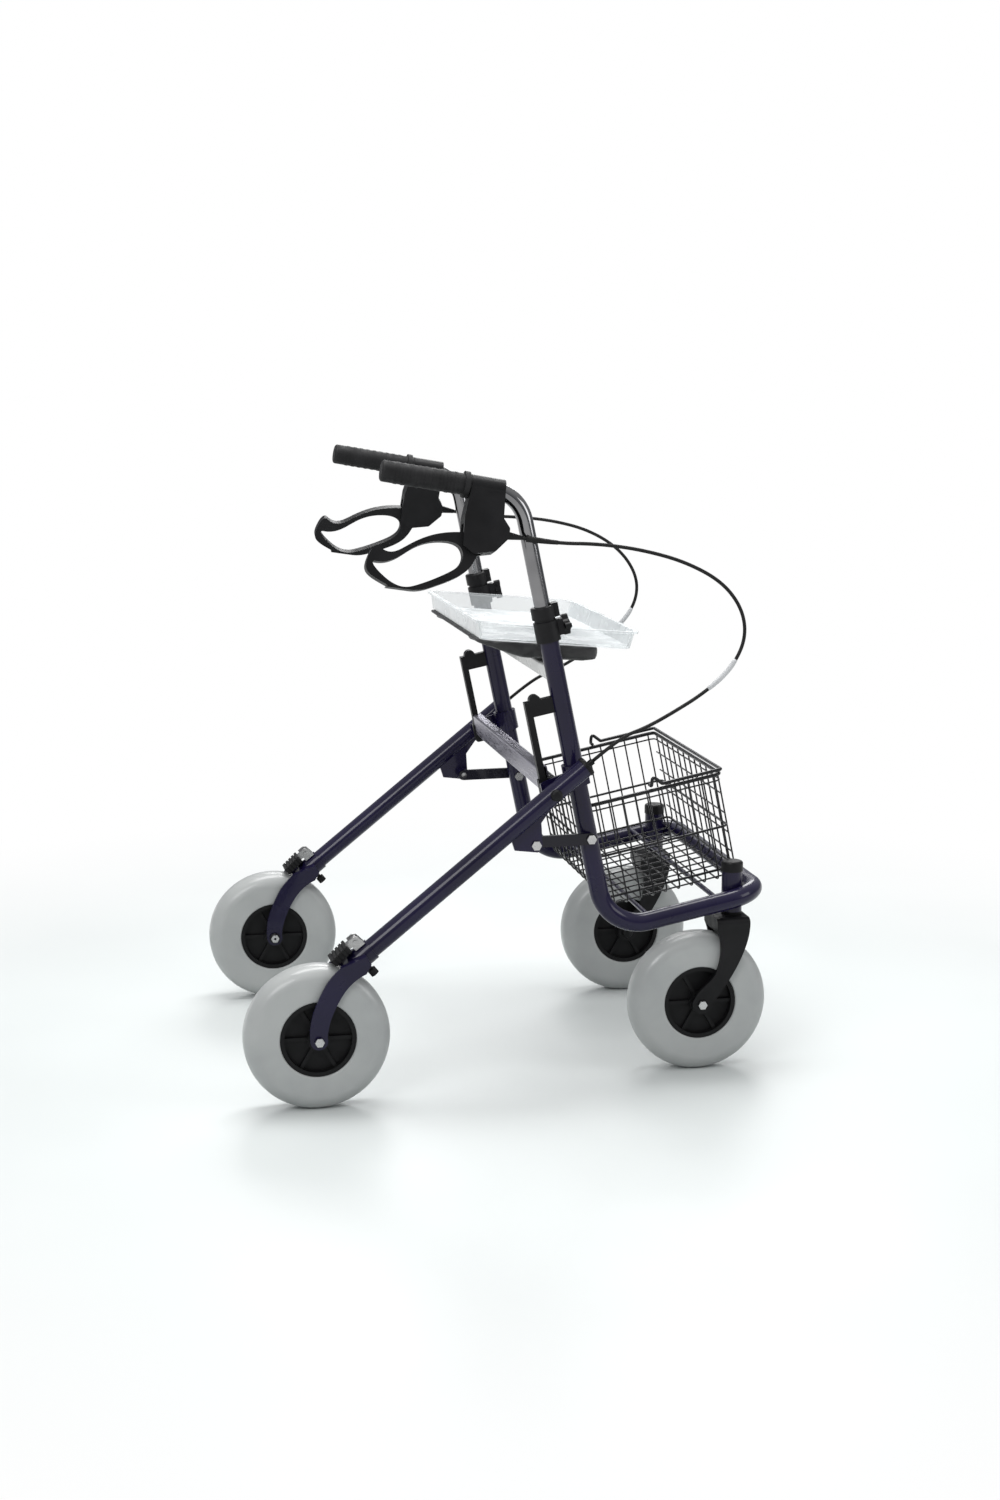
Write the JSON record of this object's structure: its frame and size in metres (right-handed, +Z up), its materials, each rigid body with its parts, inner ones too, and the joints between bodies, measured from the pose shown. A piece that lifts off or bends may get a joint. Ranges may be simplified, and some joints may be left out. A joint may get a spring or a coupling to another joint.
{
  "type": "rollator walker",
  "caption": "Folding walking frame with wheels, padded seat, clear tray, wire basket, caster forks, adjustable handles and loop brake levers.",
  "frame": {"origin": "on the floor, under the middle of the bounding box", "axes": "+X the way it is walked forward, +Y to the user's left, +Z up"},
  "size_m": [0.754, 0.643, 0.8715],
  "materials": {
    "frame_purple": "gloss dark purple powder coat",
    "chrome_tube": "polished chrome",
    "silver_bar": "satin anodised",
    "bright_bolts": "bright zinc",
    "black_plastic": "fine grain",
    "black_rim": "satin",
    "grip_rubber": "soft matte",
    "cable_jacket": "smooth",
    "tyre_grey": "light grey, smooth",
    "tray_clear": "clear frosted plastic",
    "cushion_black": "padded vinyl",
    "board_black": "matte",
    "light_grey": "satin light grey",
    "basket_wire": "black plastic coated wire",
    "bushes": "white nylon",
    "pad_rubber": "ribbed",
    "bracket_steel": "zinc"
  },
  "bodies": {
    "front_frame": {"frame_side_left": "frame_purple", "frame_side_right": "frame_purple", "front_cross_tube": "frame_purple", "head_tubes": "frame_purple", "head_caps": "black_plastic", "caster_bushes": "bushes", "basket_rods": "frame_purple", "seat_support": "light_grey", "height_clamps": "black_plastic", "link_bolts": "bright_bolts"},
    "fold_slide": {"slide_brackets": "frame_purple", "cross_bar": "silver_bar", "pull_loops": "black_plastic", "pivot_bolts": "bright_bolts"},
    "seat": {"seat_board": "board_black", "seat_cushion": "cushion_black"},
    "tray": {"tray": "tray_clear"},
    "basket": {"basket": "basket_wire"},
    "basket_bail": {"basket_bail": "basket_wire"},
    "rear_leg_left": {"rear_leg_left": "frame_purple", "leg_cap_left": "black_plastic", "rear_fork_left": "frame_purple", "brake_bracket_left": "bracket_steel", "leg_bolts_left": "bright_bolts"},
    "fold_link_left": {"fold_link_left": "frame_purple"},
    "brake_shoe_left": {"brake_arm_left": "bracket_steel", "brake_pad_left": "pad_rubber"},
    "rear_wheel_left": {"rear_rim_left": "black_rim", "rear_tyre_left": "tyre_grey"},
    "caster_left": {"caster_fork_left": "black_plastic", "front_axle_left": "bright_bolts"},
    "front_wheel_left": {"front_rim_left": "black_rim", "front_tyre_left": "tyre_grey"},
    "handle_left": {"handle_tube_left": "chrome_tube", "grip_left": "grip_rubber", "brake_housing_left": "black_plastic", "brake_cable_left": "cable_jacket"},
    "brake_lever_left": {"brake_lever_left": "black_plastic"},
    "clamp_knob_left": {"clamp_knob_left": "black_plastic"},
    "rear_leg_right": {"rear_leg_right": "frame_purple", "leg_cap_right": "black_plastic", "rear_fork_right": "frame_purple", "brake_bracket_right": "bracket_steel", "leg_bolts_right": "bright_bolts"},
    "fold_link_right": {"fold_link_right": "frame_purple"},
    "brake_shoe_right": {"brake_arm_right": "bracket_steel", "brake_pad_right": "pad_rubber"},
    "rear_wheel_right": {"rear_rim_right": "black_rim", "rear_tyre_right": "tyre_grey"},
    "caster_right": {"caster_fork_right": "black_plastic", "front_axle_right": "bright_bolts"},
    "front_wheel_right": {"front_rim_right": "black_rim", "front_tyre_right": "tyre_grey"},
    "handle_right": {"handle_tube_right": "chrome_tube", "grip_right": "grip_rubber", "brake_housing_right": "black_plastic", "brake_cable_right": "cable_jacket"},
    "brake_lever_right": {"brake_lever_right": "black_plastic"},
    "clamp_knob_right": {"clamp_knob_right": "black_plastic"}
  },
  "joints": [
    {"name": "fold_slide", "type": "slide", "parent": "front_frame", "child": "fold_slide", "axis": [-0.2011, 0, 0.9796], "range_m": [0, 0.069]},
    {"name": "seat_hinge", "type": "hinge", "parent": "front_frame", "child": "seat", "pos_m": [0.08485, 0, 0.5823], "axis": [0, 1, 0], "range_deg": [0, 75]},
    {"name": "tray_lift", "type": "slide", "parent": "seat", "child": "tray", "axis": [0.0872, 0, 0.9962], "range_m": [0, 0.12]},
    {"name": "basket_lift", "type": "slide", "parent": "front_frame", "child": "basket", "axis": [-0.2011, 0, 0.9796], "range_m": [0, 0.08]},
    {"name": "bail_swing", "type": "hinge", "parent": "basket", "child": "basket_bail", "pos_m": [0.21596, 0, 0.40607], "axis": [0, -1, 0], "range_deg": [0, 100]},
    {"name": "leg_fold_left", "type": "hinge", "parent": "fold_slide", "child": "rear_leg_left", "pos_m": [0.052, 0.283, 0.4207], "axis": [0, -1, 0], "range_deg": [0, 37.1], "deforming": ["brake_cable_left"]},
    {"name": "link_swing_left", "type": "hinge", "parent": "front_frame", "child": "fold_link_left", "pos_m": [0.11, 0.2575, 0.35], "axis": [0, 1, 0], "range_deg": [0, 55.1]},
    {"name": "brake_shoe_left", "type": "hinge", "parent": "rear_leg_left", "child": "brake_shoe_left", "pos_m": [-0.2241, 0.283, 0.2294], "axis": [0, -1, 0], "range_deg": [0, 8]},
    {"name": "rear_wheel_spin_left", "type": "hinge", "parent": "rear_leg_left", "child": "rear_wheel_left", "pos_m": [-0.277, 0.283, 0.1], "axis": [0, 1, 0], "continuous": true},
    {"name": "caster_swivel_left", "type": "hinge", "parent": "front_frame", "child": "caster_left", "pos_m": [0.328, 0.211, 0.25], "axis": [0, 0, 1], "continuous": true},
    {"name": "front_wheel_spin_left", "type": "hinge", "parent": "caster_left", "child": "front_wheel_left", "pos_m": [0.277, 0.211, 0.1], "axis": [0, 1, 0], "continuous": true},
    {"name": "handle_height_left", "type": "slide", "parent": "front_frame", "child": "handle_left", "axis": [-0.2011, 0, 0.9796], "range_m": [-0.075, 0.07]},
    {"name": "lever_squeeze_left", "type": "hinge", "parent": "handle_left", "child": "brake_lever_left", "pos_m": [-0.04744, 0.25815, 0.76266], "axis": [0.0449, 0.9659, 0.2549], "range_deg": [0, 18], "stiffness_Nm_per_rad": 1.5, "springref_deg": -17.19},
    {"name": "knob_turn_left", "type": "hinge", "parent": "front_frame", "child": "clamp_knob_left", "pos_m": [0.07394, 0.239, 0.6454], "axis": [0.9796, 0, 0.2011], "range_deg": [0, 360]},
    {"name": "leg_fold_right", "type": "hinge", "parent": "fold_slide", "child": "rear_leg_right", "pos_m": [0.052, -0.283, 0.4207], "axis": [0, -1, 0], "range_deg": [0, 37.1], "deforming": ["brake_cable_right"]},
    {"name": "link_swing_right", "type": "hinge", "parent": "front_frame", "child": "fold_link_right", "pos_m": [0.11, -0.2575, 0.35], "axis": [0, 1, 0], "range_deg": [0, 55.1]},
    {"name": "brake_shoe_right", "type": "hinge", "parent": "rear_leg_right", "child": "brake_shoe_right", "pos_m": [-0.2241, -0.283, 0.2294], "axis": [0, -1, 0], "range_deg": [0, 8]},
    {"name": "rear_wheel_spin_right", "type": "hinge", "parent": "rear_leg_right", "child": "rear_wheel_right", "pos_m": [-0.277, -0.283, 0.1], "axis": [0, 1, 0], "continuous": true},
    {"name": "caster_swivel_right", "type": "hinge", "parent": "front_frame", "child": "caster_right", "pos_m": [0.328, -0.211, 0.25], "axis": [0, 0, 1], "continuous": true},
    {"name": "front_wheel_spin_right", "type": "hinge", "parent": "caster_right", "child": "front_wheel_right", "pos_m": [0.277, -0.211, 0.1], "axis": [0, 1, 0], "continuous": true},
    {"name": "handle_height_right", "type": "slide", "parent": "front_frame", "child": "handle_right", "axis": [-0.2011, 0, 0.9796], "range_m": [-0.075, 0.07]},
    {"name": "lever_squeeze_right", "type": "hinge", "parent": "handle_right", "child": "brake_lever_right", "pos_m": [-0.04744, -0.25815, 0.76266], "axis": [-0.0449, 0.9659, -0.2549], "range_deg": [0, 18], "stiffness_Nm_per_rad": 1.5, "springref_deg": -17.19},
    {"name": "knob_turn_right", "type": "hinge", "parent": "front_frame", "child": "clamp_knob_right", "pos_m": [0.07394, -0.239, 0.6454], "axis": [0.9796, 0, 0.2011], "range_deg": [0, 360]}
  ],
  "couplings": [
    {"joint": "leg_fold_left", "follows": "fold_slide", "rad_per_m": 9.366},
    {"joint": "link_swing_left", "follows": "fold_slide", "rad_per_m": 13.911},
    {"joint": "brake_shoe_left", "follows": "lever_squeeze_left", "ratio": 0.444},
    {"joint": "leg_fold_right", "follows": "fold_slide", "rad_per_m": 9.366},
    {"joint": "link_swing_right", "follows": "fold_slide", "rad_per_m": 13.911},
    {"joint": "brake_shoe_right", "follows": "lever_squeeze_right", "ratio": 0.444}
  ]
}
